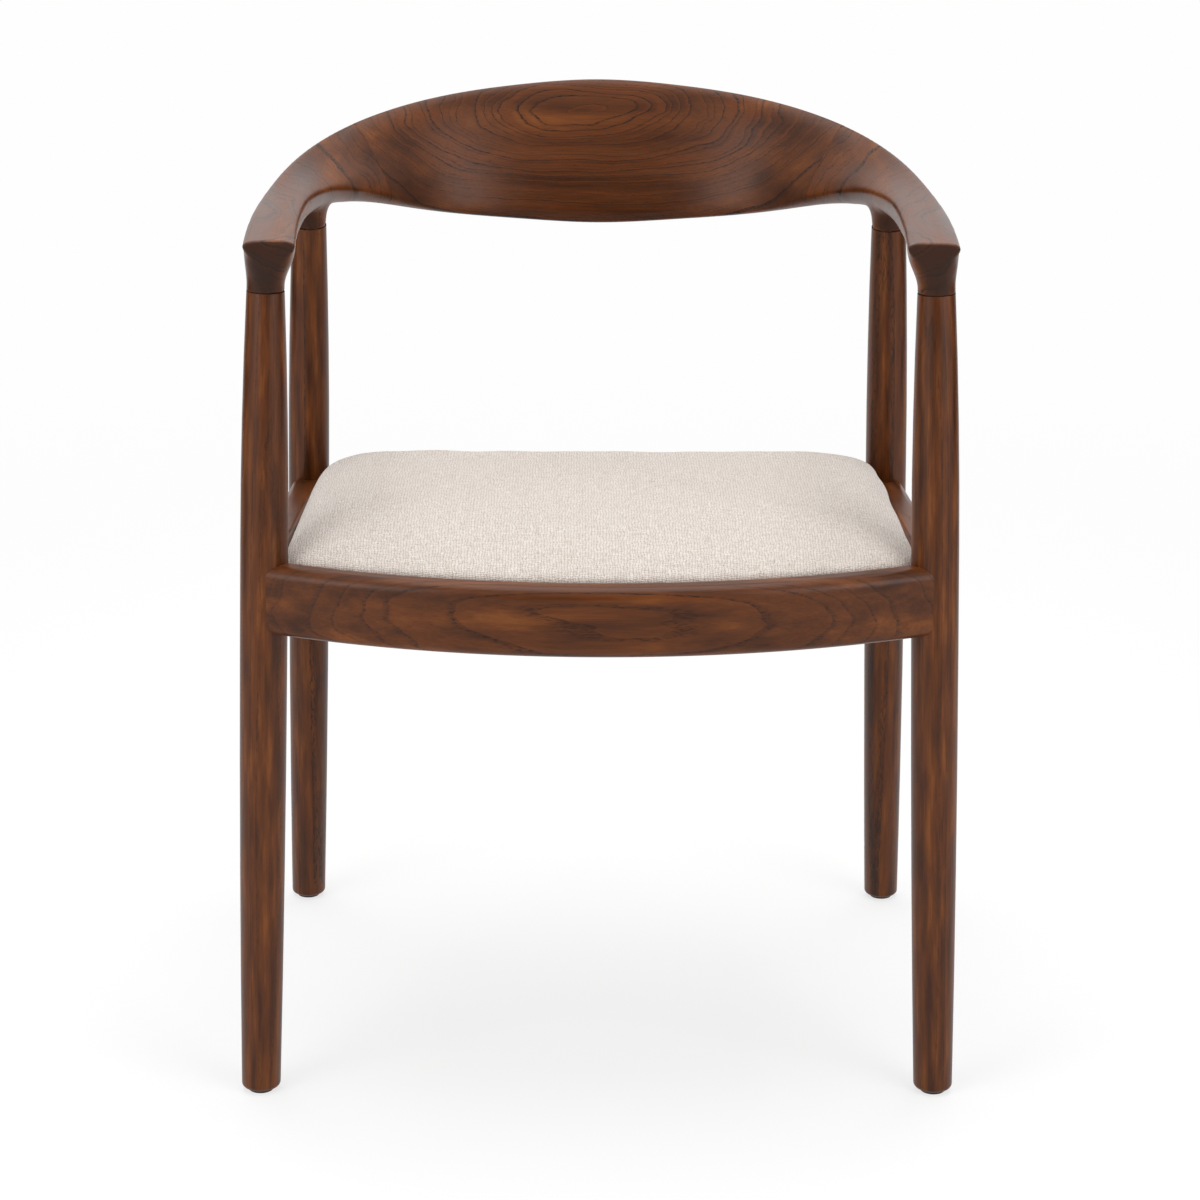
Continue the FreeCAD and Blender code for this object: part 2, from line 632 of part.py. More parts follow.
def block_screw_lines(kind, side):
    """Where the two screws of a corner block end inside its rails, and the way back to their heads."""
    mirror = SIDES[side]
    towards = inward(kind)
    point = corner_point(kind, side) - V(0, 0, size("block_height") / 2)
    along = size("block_screw_along")
    to_side = point + V(0, along * towards, 0)
    front, back = side_rail_line(side)
    side_x = front.x + (back.x - front.x) * (to_side.y - front.y) / (back.y - front.y)
    side_face = abs(side_x) - size("side_rail_thickness") / 2
    tip = V(mirror * (side_face + size("block_screw_bite")), to_side.y, point.z)
    cross_x = point.x - mirror * along
    if kind == "front":
        _, centre, radius = front_rail_shape()
        inner = radius - size("front_rail_thickness") / 2
        cross_face = centre.y - math.sqrt(inner ** 2 - cross_x ** 2)
    else:
        cross_face = leg_axis_at("back", side, point.z).y - size("side_rail_thickness") / 2
    cross_tip = V(cross_x, cross_face - towards * size("block_screw_bite"), point.z)
    return [(tip, V(-mirror, 0, 0)), (cross_tip, V(0, towards, 0))]


def screw(tip, back_to_head, length, extra=0.0, bore=0.0):
    """A pan-head screw from its tip to its head; with bore set, the hole that lets it in."""
    shank = Part.makeCylinder(size("screw_dia") / 2 + extra, length + bore, tip - back_to_head * extra,
                              back_to_head)
    head = Part.makeCylinder(size("screw_head_dia") / 2 + extra, size("screw_head_height") + bore,
                             tip + back_to_head * (length - extra), back_to_head)
    return shank.fuse(head).removeSplitter()


def seat_screw_line(kind, side):
    mirror = SIDES[side]
    point = corner_point(kind, side)
    reach = size("seat_screw_in")
    base_z = point.z - size("block_height") + size("seat_screw_recess")
    start = V(point.x - mirror * reach, point.y + inward(kind) * size("seat_screw_back"), base_z)
    return start + UP * size("seat_screw_length"), V(0, 0, -1)


# Assembly of the frame
rails = {"front_seat_rail": front_rail(), "back_seat_rail": back_rail()}
rails["side_seat_rail_left"] = side_rail("left")
rails["side_seat_rail_right"] = mirrored(rails["side_seat_rail_left"])
blocks = {(kind, side): corner_block(kind, side) for kind, side in CORNERS}

block_screws = []
seat_screws = []
block_holes = []
seat_holes = []
for kind, side in CORNERS:
    for tip, back_to_head in block_screw_lines(kind, side):
        block_screws.append(screw(tip, back_to_head, size("block_screw_length")))
        block_holes.append(screw(tip, back_to_head, size("block_screw_length"), size("screw_clearance"),
                                 size("block_leg")))
    tip, back_to_head = seat_screw_line(kind, side)
    seat_screws.append(screw(tip, back_to_head, size("seat_screw_length")))
    seat_holes.append(screw(tip, back_to_head, size("seat_screw_length"), size("screw_clearance"),
                            size("block_height")))
every_hole = Part.makeCompound(block_holes + seat_holes)
seat_hole_group = Part.makeCompound(seat_holes)

for label, shape in rails.items():
    solid_node(label, shape.cut(Part.makeCompound(block_holes)))
for (kind, side), shape in blocks.items():
    solid_node(f"{kind}_corner_block_{side}", shape.cut(every_hole))
solid_node("corner_block_screws", Part.makeCompound(block_screws))
solid_node("seat_screws", Part.makeCompound(seat_screws))

for label, shape in arm_and_back().items():
    solid_node(label, shape)
dowels = [dowel for side in SIDES for dowel in rail_dowels(side)]
solid_node("backrest_dowels", Part.makeCompound(dowels))

cover_outside = padded_solid(0)
cover_inside = padded_solid(size("cover_thickness"))
pan = flat_sheet(size("pan_inset"), size("cover_thickness"), size("cover_thickness") + size("pan_thickness"))
lap_opening = flat_sheet(size("cover_lap"), -size("cover_thickness"), size("cover_thickness"))
dust_inset = size("cover_lap") + size("seat_gap")
dust_sheet = flat_sheet(dust_inset, size("cover_thickness") - size("dust_cover_thickness"),
                        size("cover_thickness"))
solid_node("seat_cover", cover_outside.cut(cover_inside).cut(lap_opening).cut(seat_hole_group))
solid_node("seat_foam", cover_inside.cut(pan).cut(seat_hole_group))
solid_node("seat_pan", pan.cut(seat_hole_group))
solid_node("seat_dust_cover", dust_sheet.cut(seat_hole_group))


# Legs and glides
def glide(kind, side):
    """A nylon glide: a low disc with a pin that is driven into the foot."""
    name = f"{kind}_foot_glide_{side}"
    disc_r = size("glide_dia") / 2
    pin_r = size("glide_pin_dia") / 2
    disc = size("glide_thickness")
    pin_end = disc + size("glide_pin_length")
    outline = [line(0, 0, disc_r, 0), line(disc_r, 0, disc_r, disc), line(disc_r, disc, pin_r, disc),
               line(pin_r, disc, pin_r, pin_end), line(pin_r, pin_end, 0, pin_end), line(0, pin_end, 0, 0)]
    bound = [
        ("Coincident", (0, 1, -1, 1), None), ("Horizontal", (0,), None), ("Vertical", (1,), None),
        ("Horizontal", (2,), None), ("Vertical", (3,), None), ("Horizontal", (4,), None),
        ("Vertical", (5,), None),
        ("DistanceX", (-1, 1, 0, 2, disc_r), "sizes.glide_dia / 2"),
        ("DistanceY", (1, 1, 1, 2, disc), "sizes.glide_thickness"),
        ("DistanceX", (-1, 1, 3, 1, pin_r), "sizes.glide_pin_dia / 2"),
        ("DistanceY", (3, 1, 3, 2, pin_end - disc), "sizes.glide_pin_length"),
    ]
    body = turned_body(name, outline, bound)
    foot, _ = leg_ends(kind, side)
    body.Placement = FreeCAD.Placement(V(foot.x, foot.y, 0), FreeCAD.Rotation())
    body.Label = name
    return body


def cut_by(base, tool_shape, name):
    """A cut object whose tool is a shape made here."""
    tool = solid_node(name + "_tool", tool_shape)
    cut = doc.addObject("Part::Cut", name)
    cut.Base = base
    cut.Tool = tool
    doc.recompute()
    return cut


def finished_leg(kind, side):
    """A leg blank sawn level at the foot, eased there, mortised for its rails and bored for its glide."""
    blank = blanks[kind, side]
    foot, _ = leg_ends(kind, side)
    span = size("front_leg_foot_x")
    under = Part.makeBox(span, span, span, V(foot.x - span / 2, foot.y - span / 2, foot.z - span))
    sawn = cut_by(blank, under, f"{kind}_leg_sawn_{side}")
    eased_foot = doc.addObject("Part::Fillet", f"{kind}_leg_eased_{side}")
    eased_foot.Base = sawn
    rims = [k + 1 for k, edge in enumerate(sawn.Shape.Edges)
            if edge.BoundBox.ZMax < foot.z + size("mortise_clearance") and edge.Length > size("glide_dia")]
    eased_foot.Edges = [(rim, size("foot_round"), size("foot_round")) for rim in rims]
    doc.recompute()
    cutters = [tenon(*tenon_line(kind, side, rail), size("mortise_clearance")) for rail in (kind, "side")]
    clearance = size("mortise_clearance")
    pin_radius = size("glide_pin_dia") / 2 + clearance
    cutters.append(Part.makeCylinder(pin_radius, size("glide_pin_length") + clearance, foot))
    leg = cut_by(eased_foot, Part.makeCompound(cutters), f"{kind}_leg_{side}")
    leg.Label = f"{kind}_leg_{side}"
    return leg


finished_legs = [finished_leg(kind, side) for kind, side in CORNERS]
glides = [glide(kind, side) for kind, side in CORNERS]
doc.recompute()

# Check every object, then write one file for each sub-part
NODES = (["arm_left", "arm_right", "backrest", "backrest_dowels"] + list(rails)
         + [f"{kind}_{piece}_{side}" for piece in ("leg", "corner_block", "foot_glide")
            for kind, side in CORNERS]
         + ["corner_block_screws", "seat_screws", "seat_cover", "seat_foam", "seat_pan", "seat_dust_cover"])
for item in doc.Objects:
    if "Invalid" in item.State or "Error" in item.State:
        raise RuntimeError(f"{item.Label} did not build")
labelled = {item.Label: item for item in doc.Objects}
for node in NODES:
    shape = labelled[node].Shape
    if shape.isNull() or not shape.isValid() or not shape.Solids:
        raise RuntimeError(f"{node} has no sound solid")
    print(node, len(shape.Solids), "solids,", round(shape.Volume / 1000, 2), "cm3")
os.makedirs("parts", exist_ok=True)
for node in NODES:
    labelled[node].Shape.exportStep(f"parts/{node}.step")
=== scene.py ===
"""The looks of the accent chair: stained ash frame, linen drop-in seat, and a plain studio.

Everything is in metres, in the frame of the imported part: +Z is up and the chair faces -Y.
"""

import math

import bmesh
import bpy
from mathutils import Euler, Matrix, Vector


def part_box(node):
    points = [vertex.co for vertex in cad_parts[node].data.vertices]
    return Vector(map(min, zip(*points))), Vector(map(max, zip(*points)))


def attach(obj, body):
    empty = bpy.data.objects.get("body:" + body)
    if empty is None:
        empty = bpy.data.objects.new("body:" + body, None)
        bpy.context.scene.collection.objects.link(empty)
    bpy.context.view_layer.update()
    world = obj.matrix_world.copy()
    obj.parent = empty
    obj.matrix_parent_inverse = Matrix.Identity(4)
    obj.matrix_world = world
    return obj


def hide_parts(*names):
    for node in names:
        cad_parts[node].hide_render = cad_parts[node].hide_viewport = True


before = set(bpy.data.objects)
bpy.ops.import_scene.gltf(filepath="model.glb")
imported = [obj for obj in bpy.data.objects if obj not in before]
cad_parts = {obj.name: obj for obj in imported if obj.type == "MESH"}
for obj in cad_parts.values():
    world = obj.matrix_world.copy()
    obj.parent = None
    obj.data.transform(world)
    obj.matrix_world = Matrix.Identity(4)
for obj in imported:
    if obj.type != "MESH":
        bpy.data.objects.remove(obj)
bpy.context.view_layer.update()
MM = 0.001


def colour(code):
    """An sRGB hex colour as the linear RGBA that a shader takes."""
    channels = [int(code[i:i + 2], 16) / 255 for i in (1, 3, 5)]
    return [c / 12.92 if c <= 0.04045 else ((c + 0.055) / 1.055) ** 2.4 for c in channels] + [1.0]


def add(tree, kind, inputs=None, stops=None, **settings):
    """Adds a node: inputs are values or output sockets by socket name or number, stops fill a ramp."""
    made = tree.nodes.new("ShaderNode" + kind)
    for name, value in settings.items():
        setattr(made, name, value)
    for name, value in (inputs or {}).items():
        if isinstance(value, bpy.types.NodeSocket):
            tree.links.new(value, made.inputs[name])
        else:
            made.inputs[name].default_value = value
    if stops:
        ramp = made.color_ramp.elements
        while len(ramp) < len(stops):
            ramp.new(1.0)
        for element, (place, code) in zip(ramp, stops):
            element.position = place
            element.color = colour(code)
    return made


def new_finish(name):
    """An empty node material with its output and a Principled surface."""
    finish = bpy.data.materials.new(name)
    finish.use_nodes = True
    tree = finish.node_tree
    tree.nodes.clear()
    surface = add(tree, "BsdfPrincipled")
    add(tree, "OutputMaterial", {"Surface": surface.outputs[0]})
    return finish, tree, surface


def stained_ash(name, heart, grain, ring, stretch, sway, reach, figure=0.6, streak=14, turn=0.0):
    """Ash stained walnut brown, sanded and wiped with satin lacquer.

    The growth rings nest round heart, and run stretch times longer along the grain than across it.
    Ash is ring porous: each year starts with a line of open pores, which take the stain darkest, and
    no two years are equally wide.  The lacquer lies thin, so the pores stay as small dents in its sheen.
    Ring width, the rings' sway with its reach, and the width of the stain's streaks are in millimetres.
    """
    finish, tree, surface = new_finish(name)
    along = Vector(grain).to_track_quat("X", "Z") @ Euler((turn, 0, 0)).to_quaternion()
    place = add(tree, "TexCoord").outputs["Object"]
    turned = {"Vector": place, "Location": heart, "Rotation": along.to_euler()}
    board = add(tree, "Mapping", {**turned, "Scale": (stretch, 1, 1)}, vector_type="TEXTURE")
    fibre = add(tree, "Mapping", {**turned, "Scale": (30, 1, 1)}, vector_type="TEXTURE")
    pore = add(tree, "Mapping", {**turned, "Scale": (5, 1, 1)}, vector_type="TEXTURE")
    run = add(tree, "Mapping", {**turned, "Scale": (9, 1, 1)}, vector_type="TEXTURE")

    wander = add(tree, "TexNoise", {"Vector": board.outputs[0], "Scale": 1 / (reach * MM), "Detail": 4.0,
                                    "Roughness": 0.45})
    centred = add(tree, "VectorMath", {0: wander.outputs["Color"], 1: (0.5, 0.5, 0.5)},
                  operation="SUBTRACT")
    swayed = add(tree, "VectorMath", {0: centred.outputs[0], 1: (2 * sway * MM,) * 3, 2: board.outputs[0]},
                 operation="MULTIPLY_ADD")
    radius = add(tree, "VectorMath", {0: swayed.outputs[0]}, operation="LENGTH")
    even_years = add(tree, "Math", {0: radius.outputs["Value"], 1: ring * MM}, operation="DIVIDE")
    growth = add(tree, "TexNoise", {"W": even_years.outputs[0], "Scale": 0.55, "Detail": 1.0},
                 noise_dimensions="1D")
    years = add(tree, "Math", {0: growth.outputs["Fac"], 1: 2.4, 2: even_years.outputs[0]},
                operation="MULTIPLY_ADD")
    season = add(tree, "Math", {0: years.outputs[0]}, operation="FRACT")
    year = add(tree, "Math", {0: years.outputs[0]}, operation="FLOOR")
    fortune = add(tree, "TexWhiteNoise", {"W": year.outputs[0]}, noise_dimensions="1D")
    early_wood = add(tree, "MapRange", {"Value": season.outputs[0], "From Min": 0.34, "From Max": 0.0},
                     interpolation_type="SMOOTHERSTEP")
    late_wood = add(tree, "MapRange", {"Value": season.outputs[0], "From Min": 0.5, "From Max": 0.97},
                    interpolation_type="SMOOTHSTEP")
    clear = add(tree, "MapRange", {"Value": radius.outputs["Value"], "From Min": 2 * MM,
                                   "From Max": 8 * MM})
    bold = add(tree, "MapRange", {"Value": fortune.outputs["Value"], "To Min": 0.25 * figure,
                                  "To Max": figure})
    drawn = add(tree, "Math", {0: bold.outputs[0], 1: clear.outputs[0]}, operation="MULTIPLY")

    threads = add(tree, "TexNoise", {"Vector": fibre.outputs[0], "Scale": 1 / (1.1 * MM), "Detail": 3.0})
    open_pores = add(tree, "TexNoise", {"Vector": pore.outputs[0], "Scale": 1 / (1.3 * MM), "Detail": 1.0})
    deep = add(tree, "MapRange", {"Value": open_pores.outputs["Fac"], "From Min": 0.5, "From Max": 0.6})
    pore_line = add(tree, "MapRange", {"Value": season.outputs[0], "From Min": 0.2, "From Max": 0.06})
    lined = add(tree, "Math", {0: pore_line.outputs[0], 1: deep.outputs[0]}, operation="MULTIPLY")
    strewn = add(tree, "MapRange", {"Value": open_pores.outputs["Fac"], "From Min": 0.68, "From Max": 0.76,
                                    "To Max": 0.3})
    pores = add(tree, "Math", {0: lined.outputs[0], 1: strewn.outputs[0]}, operation="MAXIMUM")
    taken = add(tree, "Math", {0: drawn.outputs[0], 1: 1.8}, operation="MULTIPLY")
    stained_pores = add(tree, "Math", {0: pores.outputs[0], 1: taken.outputs[0]}, operation="MULTIPLY",
                        use_clamp=True)

    flow = add(tree, "TexNoise", {"Vector": run.outputs[0], "Scale": 1 / (streak * MM), "Detail": 3.0})
    stain = add(tree, "ValToRGB", {"Fac": flow.outputs["Fac"]}, stops=[
        (0.31, "#41200b"), (0.45, "#572d11"), (0.56, "#653514"), (0.69, "#7d461c")])
    warm = add(tree, "Math", {0: late_wood.outputs[0], 1: drawn.outputs[0]}, operation="MULTIPLY")
    warmed = add(tree, "Mix", {0: warm.outputs[0], 6: stain.outputs[0], 7: colour("#663413")},
                 data_type="RGBA")
    dark = add(tree, "Math", {0: early_wood.outputs[0], 1: drawn.outputs[0]}, operation="MULTIPLY")
    ringed = add(tree, "Mix", {0: dark.outputs[0], 6: warmed.outputs[2], 7: colour("#331807")},
                 data_type="RGBA")
    fine = add(tree, "ValToRGB", {"Fac": threads.outputs["Fac"]}, stops=[
        (0.3, "#d6d6d6"), (0.7, "#ffffff")])
    fibred = add(tree, "Mix", {0: 0.8, 6: ringed.outputs[2], 7: fine.outputs[0]},
                 data_type="RGBA", blend_type="MULTIPLY")
    pored = add(tree, "Mix", {0: stained_pores.outputs[0], 6: fibred.outputs[2], 7: colour("#1d0f09")},
                data_type="RGBA")
    facing = add(tree, "NewGeometry").outputs["Normal"]
    to_grain = add(tree, "VectorMath", {0: facing, 1: Vector(grain).normalized()}, operation="DOT_PRODUCT")
    end_on = add(tree, "Math", {0: to_grain.outputs["Value"]}, operation="ABSOLUTE")
    end_grain = add(tree, "MapRange", {"Value": end_on.outputs[0], "From Min": 0.5, "From Max": 0.9,
                                       "To Max": 0.8})
    whole = add(tree, "Mix", {0: end_grain.outputs[0], 6: pored.outputs[2], 7: colour("#200e06")},
                data_type="RGBA")

    dents = add(tree, "Math", {0: threads.outputs["Fac"], 1: 0.3, 2: pores.outputs[0]},
                operation="MULTIPLY_ADD")
    relief = add(tree, "Bump", {"Strength": 0.3, "Distance": 0.3 * MM, "Height": dents.outputs[0]},
                 invert=True)
    wiped = add(tree, "MapRange", {"Value": flow.outputs["Fac"], "From Min": 0.3, "From Max": 0.7,
                                   "To Min": 0.28, "To Max": 0.4})
    gloss = add(tree, "Math", {0: end_grain.outputs[0], 1: 0.3, 2: wiped.outputs[0]},
                operation="MULTIPLY_ADD")
    tree.links.new(whole.outputs[2], surface.inputs["Base Color"])
    tree.links.new(gloss.outputs[0], surface.inputs["Roughness"])
    tree.links.new(relief.outputs[0], surface.inputs["Normal"])
    surface.inputs["IOR"].default_value = 1.5
    surface.inputs["Specular IOR Level"].default_value = 0.24
    return finish


def woven_linen():
    """Oatmeal linen and cotton in a plain weave, stretched tight: matt, with thick and thin threads.

    Real threads are about 1.2 mm apart. They are drawn 2.3 mm apart, so that the weave shows in the render.
    """
    finish, tree, surface = new_finish("woven_linen_oatmeal")
    thread = 2.3 * MM
    place = add(tree, "TexCoord").outputs["Object"]
    slub = add(tree, "TexNoise", {"Vector": place, "Scale": 1 / (7 * MM), "Detail": 3.0})
    centred = add(tree, "VectorMath", {0: slub.outputs["Color"], 1: (0.5, 0.5, 0.5)}, operation="SUBTRACT")
    laid = add(tree, "VectorMath", {0: centred.outputs[0], 1: (5.0 * MM,) * 3, 2: place},
               operation="MULTIPLY_ADD")
    axes = add(tree, "SeparateXYZ", {0: laid.outputs[0]})
    facing = add(tree, "SeparateXYZ", {0: add(tree, "NewGeometry").outputs["Normal"]})
    sideways = add(tree, "Math", {0: facing.outputs["X"]}, operation="ABSOLUTE")
    side = add(tree, "Math", {0: sideways.outputs[0], 1: 0.75}, operation="GREATER_THAN")
    over_front = add(tree, "Math", {0: axes.outputs["Y"], 1: axes.outputs["Z"]}, operation="ADD")
    over_side = add(tree, "Math", {0: axes.outputs["X"], 1: axes.outputs["Z"]}, operation="ADD")
    warp_place = add(tree, "Mix", {0: side.outputs[0], 2: axes.outputs["X"], 3: axes.outputs["Y"]})
    weft_place = add(tree, "Mix", {0: side.outputs[0], 2: over_front.outputs[0], 3: over_side.outputs[0]})
    across = add(tree, "Math", {0: warp_place.outputs[0], 1: math.pi / thread}, operation="MULTIPLY")
    along = add(tree, "Math", {0: weft_place.outputs[0], 1: math.pi / thread}, operation="MULTIPLY")
    warp = add(tree, "Math", {0: across.outputs[0]}, operation="SINE")
    weft = add(tree, "Math", {0: along.outputs[0]}, operation="SINE")
    crossing = add(tree, "Math", {0: warp.outputs[0], 1: weft.outputs[0]}, operation="MULTIPLY")
    over = add(tree, "MapRange", {"Value": crossing.outputs[0], "From Min": -0.25, "From Max": 0.25})
    warp_round = add(tree, "Math", {0: warp.outputs[0]}, operation="ABSOLUTE")
    weft_round = add(tree, "Math", {0: weft.outputs[0]}, operation="ABSOLUTE")
    woven = add(tree, "Mix", {0: over.outputs[0], 2: warp_round.outputs[0], 3: weft_round.outputs[0]})
    lint = add(tree, "TexNoise", {"Vector": place, "Scale": 1 / (3.0 * MM), "Detail": 4.0})
    yarn = add(tree, "ValToRGB", {"Fac": lint.outputs["Fac"]}, stops=[
        (0.3, "#d8cdc3"), (0.45, "#e4dad2"), (0.6, "#ebe3dc"), (0.75, "#f3ede7")])
    # Painted shade: each thread's flanks and the gaps between threads are drawn darker where the weave dips,
    # on top of the bump.
    painted_gap_shade = add(tree, "ValToRGB", {"Fac": woven.outputs[0]}, stops=[
        (0.1, "#ab9f93"), (0.45, "#efebe7"), (0.85, "#ffffff")])
    cloth = add(tree, "Mix", {0: 0.9, 6: yarn.outputs[0], 7: painted_gap_shade.outputs[0]},
                data_type="RGBA", blend_type="MULTIPLY")
    relief = add(tree, "Bump", {"Strength": 0.8, "Distance": 0.6 * MM, "Height": woven.outputs[0]})
    tree.links.new(cloth.outputs[2], surface.inputs["Base Color"])
    tree.links.new(relief.outputs[0], surface.inputs["Normal"])
    surface.inputs["Roughness"].default_value = 0.92
    surface.inputs["Specular IOR Level"].default_value = 0.2
    surface.inputs["Sheen Weight"].default_value = 0.25
    surface.inputs["Sheen Roughness"].default_value = 0.6
    return finish


def plain_beech():
    """Beech off the saw and planed, left bare: pale pink brown with short dark flecks."""
    finish, tree, surface = new_finish("planed_beech")
    place = add(tree, "TexCoord").outputs["Object"]
    long_way = add(tree, "Mapping", {"Vector": place, "Scale": (0.14, 1, 1)})
    fleck = add(tree, "TexNoise", {"Vector": long_way.outputs[0], "Scale": 1 / (1.5 * MM), "Detail": 2.0})
    broad = add(tree, "TexNoise", {"Vector": long_way.outputs[0], "Scale": 1 / (12 * MM)})
    tone = add(tree, "ValToRGB", {"Fac": broad.outputs["Fac"]}, stops=[(0.3, "#b98d63"), (0.7, "#d0a67c")])
    flecks = add(tree, "ValToRGB", {"Fac": fleck.outputs["Fac"]}, stops=[
        (0.36, "#a98a70"), (0.46, "#ffffff")])
    wood = add(tree, "Mix", {0: 0.8, 6: tone.outputs[0], 7: flecks.outputs[0]},
               data_type="RGBA", blend_type="MULTIPLY")
    relief = add(tree, "Bump", {"Strength": 0.2, "Distance": 0.2 * MM, "Height": fleck.outputs["Fac"]})
    tree.links.new(wood.outputs[2], surface.inputs["Base Color"])
    tree.links.new(relief.outputs[0], surface.inputs["Normal"])
    surface.inputs["Roughness"].default_value = 0.62
    return finish


def birch_plywood():
    """Birch plywood, rotary cut: pale faces, and edges striped by plies of about 1.5 mm."""
    finish, tree, surface = new_finish("sanded_birch_plywood")
    place = add(tree, "TexCoord").outputs["Object"]
    layers = add(tree, "TexWave", {"Vector": place, "Scale": 1 / (3 * MM) * math.tau / 20,
                                   "Distortion": 0.3}, bands_direction="Z")
    tone = add(tree, "ValToRGB", {"Fac": layers.outputs["Fac"]}, stops=[(0.3, "#a87c4f"), (0.6, "#d6b588")])
    tree.links.new(tone.outputs[0], surface.inputs["Base Color"])
    surface.inputs["Roughness"].default_value = 0.6
    return finish


def spun_dust_cloth():
    """Spun-bonded polypropylene, pressed in dots: a thin grey black felt with a faint regular pitting."""
    finish, tree, surface = new_finish("spun_bonded_dust_cloth")
    place = add(tree, "TexCoord").outputs["Object"]
    dots = add(tree, "TexVoronoi", {"Vector": place, "Scale": 1 / (2.5 * MM), "Randomness": 0.25})
    fibres = add(tree, "TexNoise", {"Vector": place, "Scale": 1 / (1.2 * MM), "Detail": 4.0})
    tone = add(tree, "ValToRGB", {"Fac": fibres.outputs["Fac"]}, stops=[
        (0.35, "#1c1c1e"), (0.7, "#38383b")])
    relief = add(tree, "Bump", {"Strength": 0.4, "Distance": 0.3 * MM, "Height": dots.outputs["Distance"]})
    tree.links.new(tone.outputs[0], surface.inputs["Base Color"])
    tree.links.new(relief.outputs[0], surface.inputs["Normal"])
    surface.inputs["Roughness"].default_value = 0.85
    return finish


def zinc_plated_steel():
    """Steel, zinc plated in a barrel: bluish grey metal with a cloudy, slightly uneven shine."""
    finish, tree, surface = new_finish("zinc_plated_steel")
    place = add(tree, "TexCoord").outputs["Object"]
    cloud = add(tree, "TexNoise", {"Vector": place, "Scale": 1 / (2 * MM), "Detail": 3.0})
    tone = add(tree, "ValToRGB", {"Fac": cloud.outputs["Fac"]}, stops=[(0.3, "#8f949b"), (0.7, "#b9bdc2")])
    gloss = add(tree, "MapRange", {"Value": cloud.outputs["Fac"], "To Min": 0.25, "To Max": 0.5})
    tree.links.new(tone.outputs[0], surface.inputs["Base Color"])
    tree.links.new(gloss.outputs[0], surface.inputs["Roughness"])
    surface.inputs["Metallic"].default_value = 1.0
    return finish


def moulded_nylon():
    """Nylon, moulded: dark brown and waxy, scuffed by the floor in fine scratches."""
    finish, tree, surface = new_finish("moulded_nylon_brown")
    place = add(tree, "TexCoord").outputs["Object"]
    scuff = add(tree, "TexNoise", {"Vector": place, "Scale": 1 / (3 * MM), "Detail": 5.0})
    tone = add(tree, "ValToRGB", {"Fac": scuff.outputs["Fac"]}, stops=[
        (0.35, "#2a1d15"), (0.75, "#3b2b21")])
    gloss = add(tree, "MapRange", {"Value": scuff.outputs["Fac"], "To Min": 0.35, "To Max": 0.65})
    tree.links.new(tone.outputs[0], surface.inputs["Base Color"])
    tree.links.new(gloss.outputs[0], surface.inputs["Roughness"])
    return finish


def dress(node, finish):
    """Gives a CAD piece its finish."""
    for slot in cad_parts[node].material_slots:
        slot.material = finish


# Frame finishes. The legs are turned from straight boards, so their rings run along each leg.
for kind, lean in (("front", 0.0), ("back", -0.19)):
    for side, splay in (("left", 1), ("right", -1)):
        axis = Vector((-0.035 * splay, lean, 1)).normalized()
        low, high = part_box(f"{kind}_leg_{side}")
        heart = (low + high) / 2 + Vector((0.03 * splay, 0.05, 0.08 * splay))
        dress(f"{kind}_leg_{side}", stained_ash(
            f"turned_stained_ash_{kind}_leg_{side}", heart, axis,
            ring=7, stretch=22, sway=7, reach=40, figure=0.5, streak=7, turn=splay))
        dress(f"{kind}_foot_glide_{side}", moulded_nylon())

# The backrest is sawn from a thick board, so its rings meet the hollow face in nested ovals.
dress("backrest", stained_ash(
    "carved_stained_ash_back", (-0.017, 0.25, 0.752), (1, 0, 0),
    ring=3.7, stretch=3.1, sway=11, reach=42, figure=0.85, streak=26))
for side, sign in (("left", 1), ("right", -1)):
    dress(f"side_seat_rail_{side}", stained_ash(
        f"sawn_stained_ash_side_rail_{side}", (0.27 * sign, 0, 0.40), (0, 1, 0),
        ring=6, stretch=12, sway=7, reach=50))
dress("front_seat_rail", stained_ash(
    "shaped_stained_ash_front_rail", (0.06, -0.31, 0.425), (1, 0, 0),
    ring=9, stretch=10, sway=15, reach=60, figure=0.42))
dress("back_seat_rail", stained_ash(
    "sawn_stained_ash_back_rail", (0.02, 0.2, 0.42), (1, 0, 0),
    ring=7, stretch=10, sway=8, reach=50))
beech = plain_beech()
for kind in ("front", "back"):
    for side in ("left", "right"):
        dress(f"{kind}_corner_block_{side}", beech)
dress("backrest_dowels", beech)
steel = zinc_plated_steel()
dress("corner_block_screws", steel)
dress("seat_screws", steel)
dress("seat_pan", birch_plywood())
dress("seat_dust_cover", spun_dust_cloth())


def even_mesh(name, nodes, voxel):
    """One closed mesh of even faces over the CAD pieces named."""
    shell = bmesh.new()
    for node in nodes:
        shell.from_mesh(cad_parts[node].data)
    mesh = bpy.data.meshes.new(name)
    shell.to_mesh(mesh)
    shell.free()
    piece = bpy.data.objects.new(name, mesh)
    bpy.context.scene.collection.objects.link(piece)
    bpy.context.view_layer.objects.active = piece
    remesh = piece.modifiers.new("even", "REMESH")
    remesh.mode = "VOXEL"
    remesh.voxel_size = voxel
    remesh.use_smooth_shade = True
    bpy.ops.object.modifier_apply(modifier=remesh.name)
    return piece


def fade(value, start, end):
    """Nought before start, one after end, and a straight ramp between."""
    return min(max((value - start) / (end - start), 0.0), 1.0)


# Where the rasp works on an arm: under the arris of its top, near the tip and near the back leg.
TIP_TOP, ARRIS = 0.714, 5 * MM
TIP_NECK, LEG_NECK, BACK_LEG_TOP_Y = 62 * MM, 38 * MM, 0.088

# Where an arm is doweled to the backrest, and the way along the rail there, on the sitter's left.
RAIL_JOINT = Vector((0.2015, 0.1851, 0))
RAIL_RUN = Vector((-0.6422, 0.7666, 0))


